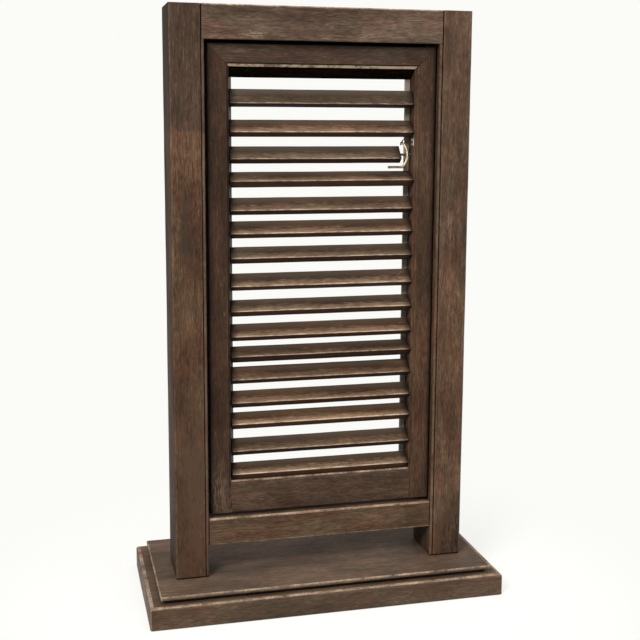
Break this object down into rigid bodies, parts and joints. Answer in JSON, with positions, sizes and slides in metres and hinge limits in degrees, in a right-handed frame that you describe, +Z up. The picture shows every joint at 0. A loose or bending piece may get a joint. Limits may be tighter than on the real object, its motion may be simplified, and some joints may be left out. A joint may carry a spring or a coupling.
{
  "type": "louvred shutter",
  "caption": "Standing wooden frame on a stepped base, holding a shutter leaf whose loose slats turn on round end pintles, with a bent wire hook.",
  "frame": {"origin": "middle of the base's underside", "axes": "+Z up; the front faces -Y; +X to the right, the leaf's pinned side"},
  "size_m": [0.366, 0.164, 0.6],
  "materials": {
    "frame_wood": "satin",
    "base_wood": "satin",
    "leaf_wood": "satin",
    "slat_wood": "satin",
    "iron": "satin",
    "steel": "satin",
    "brass": "satin"
  },
  "bodies": {
    "frame": {"base_lower": "base_wood", "base_upper": "base_wood", "post_left": "frame_wood", "post_right": "frame_wood", "head_rail": "frame_wood", "sill_rail": "frame_wood", "base_screws": "steel", "leaf_pin_top": "iron", "leaf_pin_bottom": "iron", "leaf_collar": "iron"},
    "leaf": {"leaf_stile_left": "leaf_wood", "leaf_stile_right": "leaf_wood", "leaf_top_rail": "leaf_wood", "leaf_bottom_rail": "leaf_wood", "stop_left": "slat_wood", "stop_right": "slat_wood", "stop_top": "slat_wood", "stop_bottom": "slat_wood", "hook_bar": "iron", "hook_plate": "steel"},
    "hook_body": {"hook": "brass"},
    "slat_01_body": {"slat_01": "slat_wood"},
    "slat_02_body": {"slat_02": "slat_wood"},
    "slat_03_body": {"slat_03": "slat_wood"},
    "slat_04_body": {"slat_04": "slat_wood"},
    "slat_05_body": {"slat_05": "slat_wood"},
    "slat_06_body": {"slat_06": "slat_wood"},
    "slat_07_body": {"slat_07": "slat_wood"},
    "slat_08_body": {"slat_08": "slat_wood"},
    "slat_09_body": {"slat_09": "slat_wood"},
    "slat_10_body": {"slat_10": "slat_wood"},
    "slat_11_body": {"slat_11": "slat_wood"},
    "slat_12_body": {"slat_12": "slat_wood"},
    "slat_13_body": {"slat_13": "slat_wood"},
    "slat_14_body": {"slat_14": "slat_wood"},
    "slat_15_body": {"slat_15": "slat_wood"},
    "slat_16_body": {"slat_16": "slat_wood"}
  },
  "joints": [
    {"name": "leaf_swing", "type": "hinge", "parent": "frame", "child": "leaf", "pos_m": [0.1136, -0.014, 0.095], "axis": [0, 0, -1], "range_deg": [0, 90]},
    {"name": "slat_01_tilt", "type": "hinge", "parent": "leaf", "child": "slat_01_body", "pos_m": [0, -0.0226, 0.51236], "axis": [1, 0, 0], "range_deg": [-60, 30]},
    {"name": "slat_02_tilt", "type": "hinge", "parent": "leaf", "child": "slat_02_body", "pos_m": [0, -0.0226, 0.48307], "axis": [1, 0, 0], "range_deg": [-49, 41]},
    {"name": "slat_03_tilt", "type": "hinge", "parent": "leaf", "child": "slat_03_body", "pos_m": [0, -0.0226, 0.45706], "axis": [1, 0, 0], "range_deg": [-50, 40]},
    {"name": "slat_04_tilt", "type": "hinge", "parent": "leaf", "child": "slat_04_body", "pos_m": [0, -0.0226, 0.43282], "axis": [1, 0, 0], "range_deg": [-33, 57]},
    {"name": "slat_05_tilt", "type": "hinge", "parent": "leaf", "child": "slat_05_body", "pos_m": [0, -0.0226, 0.40655], "axis": [1, 0, 0], "range_deg": [-50, 40]},
    {"name": "slat_06_tilt", "type": "hinge", "parent": "leaf", "child": "slat_06_body", "pos_m": [0, -0.0226, 0.38332], "axis": [1, 0, 0], "range_deg": [-49, 41]},
    {"name": "slat_07_tilt", "type": "hinge", "parent": "leaf", "child": "slat_07_body", "pos_m": [0, -0.0226, 0.35781], "axis": [1, 0, 0], "range_deg": [-41, 49]},
    {"name": "slat_08_tilt", "type": "hinge", "parent": "leaf", "child": "slat_08_body", "pos_m": [0, -0.0226, 0.33104], "axis": [1, 0, 0], "range_deg": [-51, 39]},
    {"name": "slat_09_tilt", "type": "hinge", "parent": "leaf", "child": "slat_09_body", "pos_m": [0, -0.0226, 0.30453], "axis": [1, 0, 0], "range_deg": [-40, 50]},
    {"name": "slat_10_tilt", "type": "hinge", "parent": "leaf", "child": "slat_10_body", "pos_m": [0, -0.0226, 0.27978], "axis": [1, 0, 0], "range_deg": [-47, 43]},
    {"name": "slat_11_tilt", "type": "hinge", "parent": "leaf", "child": "slat_11_body", "pos_m": [0, -0.0226, 0.2573], "axis": [1, 0, 0], "range_deg": [-31, 59]},
    {"name": "slat_12_tilt", "type": "hinge", "parent": "leaf", "child": "slat_12_body", "pos_m": [0, -0.0226, 0.23584], "axis": [1, 0, 0], "range_deg": [-47, 43]},
    {"name": "slat_13_tilt", "type": "hinge", "parent": "leaf", "child": "slat_13_body", "pos_m": [0, -0.0226, 0.21109], "axis": [1, 0, 0], "range_deg": [-41, 49]},
    {"name": "slat_14_tilt", "type": "hinge", "parent": "leaf", "child": "slat_14_body", "pos_m": [0, -0.0226, 0.18862], "axis": [1, 0, 0], "range_deg": [-39, 51]},
    {"name": "slat_15_tilt", "type": "hinge", "parent": "leaf", "child": "slat_15_body", "pos_m": [0, -0.0226, 0.16134], "axis": [1, 0, 0], "range_deg": [-44, 46]},
    {"name": "slat_16_tilt", "type": "hinge", "parent": "leaf", "child": "slat_16_body", "pos_m": [0, -0.0226, 0.13584], "axis": [1, 0, 0], "range_deg": [-35, 2]},
    {"name": "hook_swing", "type": "hinge", "parent": "leaf", "child": "hook_body", "pos_m": [0.0848, -0.026, 0.4698], "axis": [-1, 0, 0], "range_deg": [0, 80]}
  ]
}
